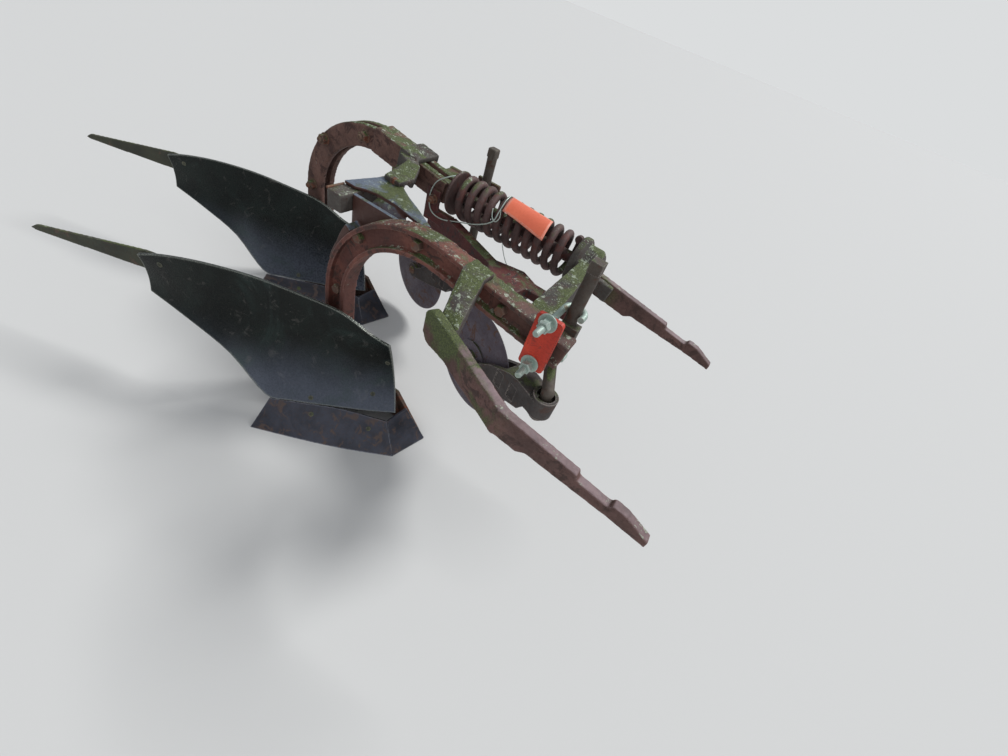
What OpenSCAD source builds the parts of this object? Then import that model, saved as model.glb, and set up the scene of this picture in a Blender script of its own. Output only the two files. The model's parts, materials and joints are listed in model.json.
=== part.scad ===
// Two-bottom moldboard plough with a two-prong hitch, a cushion spring and rolling coulters.
// Level frame: +X is the direction of travel, +Y is to the left, +Z is up.
// The front share's point is at the level frame's zero, and all lengths are in millimetres.

/* [Layout] */
// Width of cut of one bottom, which is also the beams' spacing
cut_w = 356; // [340:1:372]
// Distance from the front bottom back to the rear one
body_step = 478; // [460:1:500]
// Height of the beams' crown above the shares' cutting edges
crown_h = 662; // [650:1:676]
// Distance from the share's point back to the centre of the beam's arch
arch_back = 81; // [76:1:88]

/* [Beams] */
// Outer radius of the arch
arch_r = 295; // [288:1:300]
// Depth of both beams
beam_d = 64; // [60:1:68]
// Width of the front beam's flanges
flange_w = 48; // [44:1:52]
// Thickness of the front beam's flanges
flange_t = 12; // [10:0.5:14]
// Thickness of the front beam's web
web_t = 11; // [9:0.5:14]
// Fall of the beams' straight part towards the front, in degrees
beam_slope = 8; // [7:0.5:9]
// How far the front beam runs past its coulter's shank
beam_past = 36; // [30:1:44]
// Height of the lower end of the beams' legs
leg_foot = 150; // [140:1:160]
// Thickness of each of the rear beam's two bars
bar_t = 20; // [18:1:22]
// Gap between the rear beam's two bars
bar_gap = 21; // [18:1:24]
// Thickness of the plate on the rear beam's right side
side_t = 10; // [8:1:12]
// Thickness of the short plate over the rear beam
cap_t = 6; // [4:1:8]

/* [Bottoms] */
// Length of the moldboard behind the share's point
mold_l = 765; // [745:1:780]
// Sideways reach of the moldboard
mold_throw = 279; // [270:1:286]
// Height of the moldboard's top edge
mold_h = 379; // [365:1:385]
// Thickness of the moldboard
mold_t = 8; // [6:0.5:9]
// Hollow of the moldboard's working face
mold_hollow = 26; // [18:1:32]
// Length of the share behind its point
share_l = 373; // [366:1:380]
// Sideways reach of the share's wing
share_reach = 289; // [280:1:296]
// Thickness of the share at its seam
share_t = 10; // [8:0.5:11]
// Height of the seam between share and moldboard
seam_h = 81; // [78:1:86]
// Length of the landside bar
landside_l = 400; // [380:1:420]
// Height of the landside bar
landside_h = 105; // [95:1:115]
// Thickness of the landside bar
landside_t = 12; // [10:1:14]
// Distance from the beam's centre plane to the landside's inner face
landside_in = 24; // [22:1:26]
// Length of the tail piece behind the moldboard
tail_l = 320; // [300:1:340]
// Depth of the tail piece at its root
tail_d = 58; // [50:1:62]
// Thickness of the tail piece
tail_t = 8; // [6:0.5:9]

/* [Cross frame] */
// Side of the square cross bar
bar_s = 44; // [40:1:48]
// Distance from the share's point back to the cross bar's middle
cross_back = 362; // [356:1:368]
// Height of the cross bar's middle
cross_h = 608; // [604:1:612]
// Thickness of the bracket's top plate
gusset_t = 10; // [8:1:12]
// Thickness of the bracket's web
bracket_t = 12; // [10:1:14]
// Height of the diagonal brace's top edge
brace_top = 548; // [544:1:550]
// Depth of the diagonal brace
brace_d = 74; // [66:1:80]
// Thickness of the diagonal brace
brace_t = 8; // [6:0.5:10]
// Thickness of the brace's shoe
shoe_t = 46; // [40:1:50]

/* [Hitch] */
// Spacing of the two prongs, centre to centre
prong_gap = 562; // [552:1:572]
// Distance from the front beam's centre plane to the right prong's centre
prong_out = 254; // [249:1:259]
// Thickness of the prongs
prong_t = 20; // [18:1:22]
// Depth of the prongs behind the latch notch
prong_d = 40; // [37:1:43]
// Depth of the prongs at their rear
prong_root = 54; // [50:1:58]
// Distance from the share's point forward to the prongs' tips
prong_reach = 562; // [552:1:575]
// Length of the tapered nose of a prong
nose_l = 52; // [46:1:58]
// Depth of a prong at its tip
nose_d = 14; // [11:1:17]
// Depth of the latch notch in a prong's top edge
notch_d = 10; // [7:0.5:12]
// Length of the latch notch
notch_l = 60; // [54:1:64]
// Distance from the latch notch forward to the nose
latch_l = 29; // [26:1:32]
// Height of the prongs' top edge over the line of the beams' top
prong_rise = 4; // [2:1:7]
// Angle at which the right prong's rear part runs in towards the beam
prong_turn = 24.9; // [24:0.1:26]
// Distance from the share's point forward to the hook over the front beam
hook_at = 46; // [42:1:50]
// Width of the hook along the beam
hook_w = 52; // [48:1:56]
// Thickness of the hooks' caps and cheeks
hook_t = 14; // [12:1:16]

/* [Cushion spring] */
// Outside diameter of the coil spring
spring_od = 128; // [122:1:132]
// Diameter of the spring's wire
wire_d = 21; // [19:0.5:22]
// Number of turns
spring_turns = 11.5; // [10.5:0.5:12.5]
// Height of the spring's axis
spring_h = 602; // [598:1:606]
// Length of the spring between its seats
spring_l = 388; // [380:1:396]
// Diameter of the draft rod
rod_d = 32; // [28:1:36]

/* [Coulters] */
// Diameter of the rolling discs
disc_d = 305; // [295:1:312]
// Thickness of the discs
disc_t = 5; // [4:0.5:6]
// Diameter of the coulters' shanks
shank_d = 28; // [26:1:32]
// Distance from the swivel back to the disc's hub
trail = 251; // [246:1:256]
// Height of the swivel's collar over the disc's hub
hub_drop = 97; // [92:1:102]
// Diameter of the yoke's swivel pin
spindle_d = 24; // [22:1:26]
// Outer diameter of the swivel's collar
collar_d = 60; // [56:1:64]
// Height of the swivel's collar
collar_h = 52; // [48:1:56]
// Thickness of the yoke's arms
arm_t = 11; // [9:1:13]
// Width of the disc's hub
hub_w = 34; // [30:1:38]
// Diameter of the disc's axle
axle_d = 20; // [18:1:22]
// Diameter of the hook bolts
bolt_d = 14; // [12:1:16]
// Spacing of the two hook bolts
bolt_gap = 108; // [106:1:114]
// Height of the front clamp's middle
clamp_h = 597; // [595:1:600]
// Thickness of the clamp plates
pad_t = 12; // [10:1:14]

/* [Hidden] */
$fn = 48;
fit = 0.05;
seat = 0.2;
pin_gap = 1;
arch_c = crown_h - arch_r;
rear_w = 2 * bar_t + bar_gap;
left_out = prong_gap - prong_out;

// The spring lies in line with the rear beam, and what it meets follows from its place
spring_x0 = -262;
spring_x1 = spring_x0 + spring_l;
seat_t = 10;
beam_end = spring_x0 - seat_t - 12;
nose_out = 72;
drum_end = spring_x1 + nose_out;

// The coulter's shank bends from [0, 0] to here on its way down to the swivel
crank = [37, -58];
kink_up = 74;
low_up = 36;
cup_d = shank_d + 16;
cup_h = 18;
hook_ring = shank_d / 2 + bolt_d / 2 + 0.5;
// Columns: the shank's place ahead and to the left, the heights of its top and of the swivel's
// collar, and the angle that the yoke stands out to the left
COULTERS = [
    [spring_x1 + 121, flange_w / 2 + 8 + shank_d / 2, 769, 445, 22],
    [spring_x0 + 22, cut_w + 80 + shank_d / 2, 727, 306, 19],
];
tail_turn = 20;
tail_in = 34;
tail_rise = 4;
tail_tip = 30;

// Columns: how far back and out the lower and the upper edge lie, as shares of the
// moldboard's length, throw and height. One row is one section, from shin to wing.
MOLD = [
    // lower back, out, up;   upper back, out, up
    [0.112, 0.10, 0.24, 0.190, 0.07, 0.818],
    [0.200, 0.27, 0.22, 0.263, 0.12, 0.850],
    [0.330, 0.52, 0.215, 0.369, 0.21, 0.942],
    [0.425, 0.70, 0.214, 0.497, 0.35, 0.976],
    [0.495, 0.82, 0.235, 0.647, 0.53, 1.000],
    [0.629, 0.87, 0.472, 0.791, 0.72, 0.990],
    [0.800, 0.93, 0.580, 0.905, 0.87, 0.950],
    [0.954, 0.98, 0.644, 0.973, 0.97, 0.905],
];
// Columns: how far back and out the cutting edge and the seam lie, as shares of the share's
// length and reach. One row is one section, from the point to the wing.
SHARE = [
    // edge back, out;  seam back, out
    [0.060, 0.330, 0.232, 0.215],
    [0.400, 0.605, 0.560, 0.412],
    [0.700, 0.810, 0.790, 0.610],
    [1.000, 1.000, 0.985, 0.780],
];

// Smooth curve through the points p, with u from 0 to 1
function spline(p, u) =
    let (n = len(p) - 1, s = min(max(u, 0) * n, n - 0.00001), i = floor(s), f = s - i,
         a = p[max(i - 1, 0)], b = p[i], c = p[i + 1], d = p[min(i + 2, n)])
    b + 0.5 * f * (c - a + f * (2 * a - 5 * b + 4 * c - d + f * (3 * (b - c) + d - a)));
// Point on the moldboard's working face: u runs from shin to wing, v from lower to upper edge
function mold_face(u, v) =
    let (lo = spline([for (r = MOLD) [-mold_l * r[0], -mold_throw * r[1], mold_h * r[2]]], u),
         up = spline([for (r = MOLD) [-mold_l * r[3], -mold_throw * r[4], mold_h * r[5]]], u))
    lo + (up - lo) * v + mold_hollow * 4 * v * (1 - v) * (1 - 0.6 * u) * [-0.42, 0.8, -0.3];
// Point on the share's top face: u runs from point to wing, v from cutting edge to seam
function share_face(u, v) =
    let (e = spline([for (r = SHARE) [-share_l * r[0], -share_reach * r[1], 0]], u),
         s = spline([for (r = SHARE) [-share_l * r[2], -share_reach * r[3], seam_h - 2]], u))
    e + (s - e) * v;
// Unit normal of a face at u, v, which points towards the land side
function normal(face, u, v) =
    let (h = 0.01, du = face(min(u + h, 1), v) - face(max(u - h, 0), v),
         dv = face(u, min(v + h, 1)) - face(u, max(v - h, 0)), n = cross(dv, du))
    n / norm(n);

// Closed sheet behind a face, t0 thick at its lower edge and t1 at its upper edge
module sheet(face, t0, t1, nu, nv) {
    rows = [for (back = [0, 1], j = [0:nv], i = [0:nu])
        let (u = i / nu, v = j / nv)
        let (p = face(u, v) - back * (t0 + (t1 - t0) * min(1, v * 2)) * normal(face, u, v))
        [p[0], p[1], max(p[2], 0)]];
    w = nu + 1;
    m = w * (nv + 1);
    polyhedron(rows, concat(
        [for (j = [0:nv - 1], i = [0:nu - 1], k = [0, 1]) let (a = j * w + i)
            k == 0 ? [a, a + 1, a + w + 1] : [a, a + w + 1, a + w]],
        [for (j = [0:nv - 1], i = [0:nu - 1], k = [0, 1]) let (a = m + j * w + i)
            k == 0 ? [a, a + w + 1, a + 1] : [a, a + w, a + w + 1]],
        [for (i = [0:nu - 1], k = [0, 1]) k == 0 ? [i, i + m, i + 1] : [i + 1, i + m, i + m + 1]],
        [for (i = [0:nu - 1], k = [0, 1]) let (a = nv * w + i)
            k == 0 ? [a, a + 1, a + m] : [a + 1, a + m + 1, a + m]],
        [for (j = [0:nv - 1], k = [0, 1]) let (a = j * w)
            k == 0 ? [a, a + w, a + m] : [a + w, a + w + m, a + m]],
        [for (j = [0:nv - 1], k = [0, 1]) let (a = j * w + nu)
            k == 0 ? [a, a + m, a + w] : [a + w, a + m, a + w + m]]));
}

// Round bar from a to b
module rod(a, b, d) {
    v = b - a;
    translate(a) rotate([0, acos(v[2] / norm(v)), atan2(v[1], v[0])]) cylinder(d = d, h = norm(v));
}

// Places its children at the rear bottom
module at_rear() translate([-body_step, cut_w, 0]) children();
// Distance along the beams' top line, from the crown, to a place x ahead of the share's point
function run_to(x) = (x + arch_back - arch_r * sin(beam_slope)) / cos(beam_slope);
// Height of the beams' top line at x
function top_at(x) = arch_c + arch_r / cos(beam_slope) - (x + arch_back) * tan(beam_slope);
// Places its children in the frame of the beams' top line, or on that line at x
module top_line() translate([-arch_back, 0, arch_c]) rotate([0, beam_slope, 0]) translate([0, 0, arch_r]) children();
module on_beam(x) top_line() translate([run_to(x), 0, 0]) children();
// Turns a drawing in X and Z into a plate from y0 to y1
module plate(y0, y1) translate([0, y1, 0]) rotate([90, 0, 0]) linear_extrude(y1 - y0) children();
// Block between two corners
module block(a, b) translate(a) cube(b - a);

// Side view of a layer of the gooseneck beam, between two radii: leg, arch and straight run
module beam_band(r1, r2, run) {
    steps = 49;
    arc = [for (i = [0:steps]) let (a = 180 - (90 + beam_slope) * i / steps) [cos(a), sin(a)]];
    tip = run * [cos(beam_slope), -sin(beam_slope)];
    translate([-arch_back, arch_c]) polygon(concat(
        [[-r2, leg_foot - arch_c]], [for (a = arc) r2 * a], [r2 * arc[steps] + tip, r1 * arc[steps] + tip],
        [for (i = [steps:-1:0]) r1 * arc[i]], [[-r1, leg_foot - arch_c]]));
}

module front_beam() color([0.42, 0.25, 0.22]) {
    in = arch_r - beam_d;
    run = run_to(COULTERS[0][0] + beam_past);
    plate(-flange_w / 2, flange_w / 2) beam_band(arch_r - flange_t, arch_r, run);
    plate(-flange_w / 2, flange_w / 2) beam_band(in, in + flange_t, run);
    plate(-web_t / 2, web_t / 2) beam_band(in + flange_t, arch_r - flange_t, run);
}
module rear_beam() color([0.36, 0.31, 0.28]) at_rear()
    for (side = [-1, 1]) translate([0, side * (bar_gap + bar_t) / 2, 0])
        plate(-bar_t / 2, bar_t / 2) beam_band(arch_r - beam_d, arch_r, run_to(beam_end + body_step));
// Round spacers between the rear beam's bars, one for each angle round the arch
module beam_spacers() color([0.3, 0.27, 0.24]) at_rear()
    for (a = [172, 140, 108]) translate([-arch_back, bar_gap / 2 - seat, arch_c])
        translate([cos(a), 0, sin(a)] * (arch_r - beam_d / 2))
            rotate([90, 0, 0]) cylinder(d = beam_d * 0.6, h = bar_gap - 2 * seat);
// Plate along the rear beam's right side, with a short plate over its top
plate_back = 78;
plate_top_l = 104;
module beam_plate() color([0.38, 0.35, 0.31]) at_rear() on_beam(-plate_back) {
    y = -rear_w / 2 - seat;
    length = (beam_end + body_step + plate_back) / cos(beam_slope) - 6;
    top = seat + cap_t;
    plate(y - side_t, y) polygon([[0, -beam_d], [length, -beam_d], [length, 0], [plate_top_l, 0],
                                  [plate_top_l, top], [0, top]]);
    block([0, y - side_t / 2, seat], [plate_top_l, rear_w / 2, top]);
}

// Cast frog: a cheek each side of the leg, a landside face and a wedge behind share and moldboard
module frog(leg_w) {
    leg_x = -arch_back - arch_r;
    fore = leg_x + beam_d + seat;
    cheek = 12;
    wide = leg_w / 2 + seat + cheek;
    deck = landside_h + 2;
    for (side = [-1, 1]) plate(side * (wide - cheek / 2) - cheek / 2, side * (wide - cheek / 2) + cheek / 2)
        polygon([[leg_x, deck], [fore + 20, deck], [fore + 20, leg_foot + 60], [fore - 20, leg_foot + 110],
                 [leg_x, leg_foot + 110]]);
    plate(landside_in - 14, landside_in)
        polygon([[-landside_l, 14], [-95, 14], [-135, landside_h], [fore + 40, leg_foot - seat],
                 [leg_x - 8, leg_foot - seat], [-landside_l, landside_h - 15]]);
    block([leg_x, -wide, deck], [fore + 20, wide, leg_foot - seat]);
    hull() {
        translate([0, 0, 22]) linear_extrude(1)
            polygon([[-120, landside_in - 10], [-320, -110], [-320, landside_in - 10]]);
        translate([0, 0, leg_foot - 30]) linear_extrude(1)
            polygon([[-170, landside_in - 10], [fore, -60], [fore, landside_in - 10]]);
    }
    hull() for (p = [[fore + 12, leg_foot - 20, 24], [fore + 12, leg_foot + 60, 24], [-200, leg_foot - 20, 10]])
        translate([p[0], -p[2] / 2, p[1]]) cube([1, p[2], 1]);
}
module front_frog() color([0.24, 0.2, 0.18]) frog(flange_w);
module rear_frog() color([0.24, 0.2, 0.18]) at_rear() frog(rear_w);

module moldboard() sheet(function(u, v) mold_face(u, v), mold_t, mold_t, 28, 10);
module front_moldboard() color([0.1, 0.13, 0.12]) moldboard();
module rear_moldboard() color([0.1, 0.13, 0.12]) at_rear() moldboard();

// Share blade with its separate chisel point
module share() {
    sheet(function(u, v) share_face(u, v), 3, share_t, 9, 3);
    // Columns: ahead, left, height of the corner, thickness there
    hull() for (p = [[-2, 18, 0, 4], [-26, -92, 0, 4], [-92, -62, seam_h - 22, 10], [-78, 10, seam_h - 8, 12]])
        translate([p[0], p[1], p[2]]) cylinder(d = 6, h = p[3], $fn = 16);
}
module front_share() color([0.3, 0.31, 0.36]) share();
module rear_share() color([0.3, 0.31, 0.36]) at_rear() share();

module landside() plate(landside_in + seat, landside_in + seat + landside_t)
    polygon([[-28, 0], [-28 - landside_l, 0], [-28 - landside_l, landside_h - 30],
             [-landside_l + 10, landside_h], [-130, landside_h]]);
module front_landside() color([0.33, 0.27, 0.24]) landside();
module rear_landside() color([0.33, 0.27, 0.24]) at_rear() landside();

// Tapered tail piece behind the moldboard's wing, with its root lapped behind the wing
module tail() {
    lap = 46;
    translate([-mold_l + 20, -mold_throw + tail_in, mold_h * 0.905])
        rotate([0, -tail_rise, tail_turn]) plate(-tail_t, 0)
            polygon([[lap, 2], [0, 6], [-tail_l + 20, -18], [-tail_l, -tail_tip], [-tail_l + 14, -36],
                     [0, 6 - tail_d], [lap, 2 - tail_d]]);
}
module front_tail() color([0.16, 0.17, 0.13]) tail();
module rear_tail() color([0.16, 0.17, 0.13]) at_rear() tail();

// Round stay from the landside's heel to the back of the moldboard
module brace() {
    stay_d = 18;
    wing = mold_face(0.72, 0.5) - (mold_t + 7.7) * normal(function(u, v) mold_face(u, v), 0.72, 0.5);
    rod([-landside_l + 30, landside_in - 14 - 7.4 - seat, 70], wing, stay_d);
}
module front_brace() color([0.25, 0.2, 0.18]) brace();
module rear_brace() color([0.25, 0.2, 0.18]) at_rear() brace();

// Square bar behind the front arch, under the bracket's top plate
bar_y0 = -10;
bar_y1 = 190;
bar_top = cross_h + bar_s / 2;
gusset_top = bar_top + seat + gusset_t;
module cross_bar() color([0.3, 0.29, 0.22])
    block([-cross_back - bar_s / 2, bar_y0, cross_h - bar_s / 2], [-cross_back + bar_s / 2, bar_y1, bar_top]);
// Bracket from the front arch up to the cross bar: top plate, slanted apron, web and strap
module gusset_bracket() color([0.36, 0.4, 0.45]) {
    y0 = flange_w / 2 + seat;
    bar_front = -cross_back + bar_s / 2 + seat;
    fore = -138;
    translate([0, 0, gusset_top - gusset_t]) linear_extrude(gusset_t)
        polygon([[-cross_back - bar_s / 2, 42], [-cross_back, bar_y1 - 30], [-cross_back + 20, bar_y1],
                 [-314, 176], [-300, 154], [-255, 126], [-200, 98], [fore, 62], [fore - 14, 48], [-190, 54],
                 [-247, 66], [-300, 66], [-330, 56], [-350, 42]]);
    // Web beside the arch, from the arch's inner edge up to the plate
    plate(y0, y0 + bracket_t) difference() {
        translate([-arch_back, arch_c]) polygon(concat(
            [for (a = [152:-4:108]) (arch_r - beam_d * 0.8) * [cos(a), sin(a)]],
            [[fore + arch_back, gusset_top - gusset_t - arch_c + 0.01],
             [bar_front + arch_back, gusset_top - gusset_t - arch_c + 0.01],
             [bar_front + arch_back, 122]]));
    }
    // Apron between the web and the plate's curved edge
    hull() {
        block([-318, y0 + bracket_t - 1, gusset_top - 44], [-190, y0 + bracket_t, gusset_top - 40]);
        block([-300, 62, gusset_top - gusset_t - 2], [-210, 66, gusset_top - gusset_t + 0.01]);
    }
    // Strap down the outside of the arch
    plate(-14, y0 + bracket_t) translate([-arch_back, arch_c]) polygon(concat(
        [for (a = [163:-4:139]) (arch_r + seat) * [cos(a), sin(a)]],
        [for (a = [139:4:163]) (arch_r + seat + 10 + (151 - min(a, 151)) * 0.9) * [cos(a), sin(a)]]));
}
// Hook clamp over the rear beam, with an arm down to the bracket's top plate
clamp_w = 66;
clamp_back = 417;
module hook_clamp() color([0.28, 0.3, 0.27]) {
    right = rear_w / 2 + 2 * seat + side_t;
    left = rear_w / 2 + seat;
    at_rear() on_beam(body_step - clamp_back) {
        block([-clamp_w / 2, -right - hook_t, seat], [clamp_w / 2, left + hook_t, seat + hook_t]);
        block([-clamp_w / 2, -right - hook_t, -beam_d - 10], [clamp_w / 2, -right, seat + 0.01]);
        block([-clamp_w / 2, left, -beam_d - 10], [clamp_w / 2, left + hook_t, seat + 0.01]);
    }
    cheek = cut_w - right - hook_t;
    hull() {
        block([-clamp_back - clamp_w / 2 + 4, cheek - 1, cross_h - 20], [-clamp_back + clamp_w / 2 + 4, cheek + 1, top_at(body_step - clamp_back) + 4]);
        block([-clamp_back + clamp_w / 2 + 6, cheek - 50, gusset_top + 6], [-clamp_back + clamp_w + 16, cheek - 48, gusset_top + 22]);
    }
    hull() {
        block([-clamp_back + clamp_w / 2 + 6, cheek - 50, gusset_top + 6], [-clamp_back + clamp_w + 16, cheek - 48, gusset_top + 22]);
        block([-352, 140, gusset_top + seat], [-302, bar_y1 + 4, gusset_top + 12]);
    }
}
// Diagonal brace from under the rear beam forward to its shoe below the cross casting
module diagonal_channel() color([0.38, 0.14, 0.12]) {
    a = [-340, cut_w - 13];
    b = [spring_x1 - 96, cut_w - 170];
    dir = atan2(b[1] - a[1], b[0] - a[0]);
    span = norm(b - a);
    flange = 32;
    translate([a[0], a[1], 0]) rotate([0, 0, dir]) {
        block([0, -brace_t, brace_top - brace_d], [span, 0, brace_top]);
        block([100, -brace_t, brace_top - brace_t], [span, flange - brace_t, brace_top]);
    }
    // Lug on the rear beam's side
    side = cut_w - rear_w / 2 - side_t - 2 * seat;
    plate(side - 10, side) polygon([[a[0], brace_top - 40], [a[0], brace_top + 54], [beam_end - 10, brace_top + 54],
        [beam_end - 10, brace_top + 1], [beam_end + 54, brace_top + 1], [beam_end + 54, brace_top - 40]]);
    // Shoe, and its tongue under the casting's boss
    translate([b[0], b[1], brace_top - shoe_t]) linear_extrude(shoe_t - 0.02)
        polygon([[-44, -32], [-30, -54], [44, -38], [58, 52], [8, 78], [-90, 50]]);
    block([b[0] + 30, b[1] + 8, brace_top - 24], [drum_end + 6, b[1] + 52, brace_top - 0.02]);
}

// Round things in line with the spring, x ahead of the share's point
module along_spring(x) translate([x, cut_w, spring_h]) rotate([0, 90, 0]) children();
rod_x = spring_x0 - 12;
// Rear seat: a flange for the spring and a boss, with a tongue between the rear beam's bars
module spring_seat() color([0.3, 0.27, 0.22]) difference() {
    tongue = [60, bar_gap - 2 * seat, 40];
    union() {
        along_spring(spring_x0 - seat_t) rotate_extrude() polygon([[0, 0], [spring_od / 2 - 5, 0],
            [spring_od / 2 - 1, 3], [spring_od / 2 - 1, seat_t - 2], [spring_od / 2 - 4, seat_t], [0, seat_t]]);
        along_spring(beam_end + 8) cylinder(d = 96, h = spring_x0 - seat_t - beam_end - 8 + 0.01);
        translate([beam_end - 52, cut_w - tongue[1] / 2, spring_h - tongue[2] / 2]) cube([tongue[0] + 30, tongue[1], tongue[2]]);
    }
    along_spring(rod_x) cylinder(d = rod_d + 2 * fit, h = 80);
}
module draft_rod() color([0.26, 0.22, 0.2]) {
    along_spring(rod_x) cylinder(d = rod_d, h = drum_end + 4 - rod_x);
}
// Helix tube along the spring's axis
module coil_spring() color([0.35, 0.24, 0.24]) {
    seg = 22;
    sides = 10;
    play = seat;
    r = (spring_od - wire_d) / 2;
    rise = (spring_l - wire_d - 2 * play) / spring_turns;
    lead = atan(rise / (2 * PI * r));
    n = round(seg * spring_turns);
    pts = [for (i = [0:n], k = [0:sides - 1])
        let (a = 360 * spring_turns * i / n, b = 360 * (k + 0.5) / sides,
             rr = r + wire_d / 2 * cos(b), s = wire_d / 2 * sin(b))
        [rr * cos(a) + s * sin(lead) * sin(a), rr * sin(a) - s * sin(lead) * cos(a),
         wire_d / 2 + play + rise * a / 360 + s * cos(lead)]];
    along_spring(spring_x0) polyhedron(pts, concat(
        [[for (k = [sides - 1:-1:0]) k]],
        [for (i = [0:n - 1], k = [0:sides - 1], h = [0, 1]) let (a = i * sides, k1 = (k + 1) % sides)
            h == 0 ? [a + k, a + sides + k1, a + sides + k] : [a + k, a + k1, a + sides + k1]],
        [[for (k = [0:sides - 1]) n * sides + k]]));
}
// Casting across the front: ringed drum for the spring, arm with a foot on the front beam's side,
// boss for the brace's shoe, and a tongue that holds the left prong
foot_x = [spring_x1 + 28, drum_end + 14];
module cross_casting() color([0.3, 0.31, 0.22]) difference() {
    ring = spring_od / 2 + 4;
    waist = 55;
    foot_y = flange_w / 2 + seat;
    inner = left_out - prong_t / 2 - seat;
    boss_y = cut_w - 170 + 8;
    union() {
        along_spring(spring_x1) rotate_extrude() polygon([[0, 0], [ring - 5, 0], [ring, 4], [ring, 18],
            [ring - 5, 23], [waist, 26], [waist, nose_out - 12], [waist - 10, nose_out - 1], [waist - 18, nose_out],
            [0, nose_out]]);
        hull() {
            block([spring_x1 + 28, inner + 10, spring_h - 36], [drum_end - 4, inner + 12, spring_h + 30]);
            block([foot_x[0], foot_y, spring_h - 44], [foot_x[1], foot_y + 14, spring_h + 12]);
        }
        block([foot_x[0] + 2, boss_y, brace_top + seat], [foot_x[0] + 50, boss_y + 44, spring_h - 20]);
        top_line() block([run_to(spring_x1 + 34), inner - 16, prong_rise - 46], [run_to(drum_end + 66), inner, prong_rise - 3]);
    }
    along_spring(spring_x1 - 1) cylinder(d = rod_d + 2 * fit, h = nose_out + 2);
}

// The right prong's rear part runs in from its bend to the arm: s along it, +Y to the left
bend_x = 268;
rear_l = 260;
rear_top = 20;
module prong_rear() translate([bend_x, -prong_out - prong_t / 2, 0]) rotate([0, 0, -prong_turn])
    translate([-rear_l, 0, top_at(bend_x) + prong_rise]) children();
// Hook over the front beam, with the arm out to the right prong
module prong_arm() color([0.29, 0.3, 0.2]) {
    hook_lap = 6;
    y = -flange_w / 2 - seat;
    on_beam(hook_at) {
        block([-hook_w / 2, y - hook_t, seat], [hook_w / 2, hook_lap, seat + hook_t]);
        block([-hook_w / 2, y - hook_t, -beam_d - 4], [hook_w / 2, y, seat + 0.01]);
    }
    hull() {
        on_beam(hook_at) block([-hook_w / 2, y - hook_t, -beam_d + 4], [hook_w / 2, y - hook_t + 2, hook_t]);
        prong_rear() block([24, prong_t + seat, -46], [78, prong_t + seat + 3, 4]);
    }
}
// Side view of a prong in the beams' line, from its rear to the tapered nose
module prong_side(back) {
    top = prong_rise;
    nose = run_to(prong_reach - nose_l);
    tip = run_to(prong_reach);
    step = 4;
    polygon([[back, top - prong_root], [run_to(bend_x + 56), top - prong_root + 2], [run_to(bend_x + 70), top - prong_d],
             [nose - 4, top - prong_d * 0.72], [tip, top - prong_d * 0.36 - nose_d], [tip - 3, top - prong_d * 0.36],
             [nose, top], [nose - latch_l + step, top], [nose - latch_l, top - notch_d],
             [nose - latch_l - notch_l, top - notch_d], [nose - latch_l - notch_l - step, top], [back, top]]);
}
module right_prong() color([0.37, 0.28, 0.27]) {
    top_line() translate([0, -prong_out, 0]) plate(-prong_t / 2, prong_t / 2) prong_side(run_to(bend_x - 3));
    deep = 76;
    r = 26;
    prong_rear() plate(0, prong_t) {
        polygon([[r, rear_top - 12 - deep], [90, rear_top - 12 - deep + 12], [rear_l, -prong_root - 4], [rear_l, 0],
                 [r, rear_top - 12], [0, rear_top - 12 - r], [0, rear_top - 12 - deep + r]]);
        for (z = [rear_top - 12 - r, rear_top - 12 - deep + r]) translate([r, z]) circle(r);
    }
}
module left_prong() color([0.33, 0.24, 0.23])
    top_line() translate([0, left_out, 0]) plate(-prong_t / 2, prong_t / 2) prong_side(run_to(drum_end + 9));

// Red clamp plate on the beam's right side, and the saddle between the beam and the front shank
module front_clamp() color([0.75, 0.16, 0.08]) {
    c = COULTERS[0];
    x = c[0] - hook_ring;
    w = 58;
    r = 8;
    high = bolt_gap / 2 + 11;
    difference() {
        plate(-flange_w / 2 - seat - pad_t, -flange_w / 2 - seat) translate([x + 2, clamp_h]) {
            polygon([[-w / 2 + r, -high], [w / 2 - r, -high], [w / 2, -high + r], [w / 2, high - r],
                     [w / 2 - r, high], [-w / 2 + r, high], [-w / 2, high - r], [-w / 2, -high + r]]);
            for (sx = [-1, 1], sz = [-1, 1]) translate([sx * (w / 2 - r), sz * (high - r)]) circle(r);
        }
        for (s = [-1, 1]) translate([x, 0, clamp_h + s * bolt_gap / 2])
            rotate([90, 0, 0]) cylinder(d = bolt_d + 1, h = 2 * flange_w);
    }
    difference() {
        block([c[0] - 13, flange_w / 2 + seat, clamp_h - 36], [c[0] + 27, c[1] + 4, clamp_h + 32]);
        translate([c[0], c[1], 0]) cylinder(d = shank_d + 2 * seat, h = crown_h);
    }
}
// Bracket bar beside the spring for the rear shank, with its outer clamp plate
module rear_clamp() color([0.36, 0.25, 0.22]) {
    c = COULTERS[1];
    in = c[1] - shank_d / 2 - seat;
    back = [c[0] - 118, c[0] - 58];
    low = spring_h - 30;
    difference() {
        union() {
            block([back[0], in - pad_t, low], [c[0] + 40, in, low + 60]);
            block([back[0], cut_w + rear_w / 2 + seat, low + 4], [back[1], in - 1, low + 56]);
            block([c[0] - 40, c[1] + shank_d / 2 + seat, low], [c[0] + 40, c[1] + shank_d / 2 + seat + pad_t, low + 60]);
        }
        for (s = [-1, 1]) translate([c[0] + s * hook_ring, c[1] + 60, spring_h])
            rotate([90, 0, 0]) cylinder(d = bolt_d + 1, h = 120);
    }
}
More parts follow.
